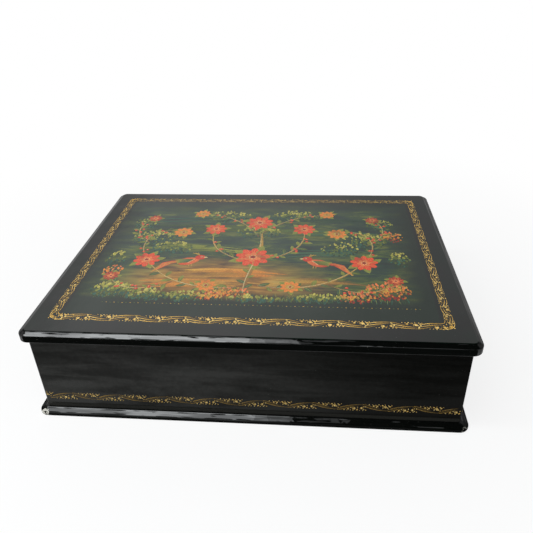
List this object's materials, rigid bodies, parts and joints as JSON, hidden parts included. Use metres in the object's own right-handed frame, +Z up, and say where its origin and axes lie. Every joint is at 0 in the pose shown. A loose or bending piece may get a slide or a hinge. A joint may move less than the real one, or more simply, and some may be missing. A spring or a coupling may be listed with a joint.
{
  "type": "lacquer box",
  "caption": "Rectangular lacquered papier-mâché box with a flat hinged lid, bevelled overhanging edges and gold scroll borders.",
  "frame": {"origin": "middle of the underside of the base board", "axes": "+X along the long front edge, +Y from the front to the hinges, +Z up"},
  "size_m": [0.23, 0.177, 0.0555],
  "materials": {
    "base_lacquer": "gloss",
    "wall_lacquer": "gloss",
    "lid_lacquer": "gloss",
    "rim_lacquer": "gloss",
    "hinge_brass": "polished",
    "pin_brass": "polished",
    "nail_brass": "polished"
  },
  "bodies": {
    "box": {"base_plate": "base_lacquer", "body_wall": "wall_lacquer", "hinge_body_leaf_left": "hinge_brass", "hinge_body_leaf_right": "hinge_brass", "hinge_pin_left": "pin_brass", "hinge_pin_right": "pin_brass", "body_hinge_nails": "nail_brass"},
    "lid": {"lid_panel": "lid_lacquer", "lid_rim": "rim_lacquer", "hinge_lid_leaf_left": "hinge_brass", "hinge_lid_leaf_right": "hinge_brass", "lid_hinge_nails": "nail_brass"}
  },
  "joints": [
    {"name": "lid_hinge", "type": "hinge", "parent": "box", "child": "lid", "pos_m": [0, 0.0848, 0.05], "axis": [-1, 0, 0], "range_deg": [0, 103]}
  ]
}
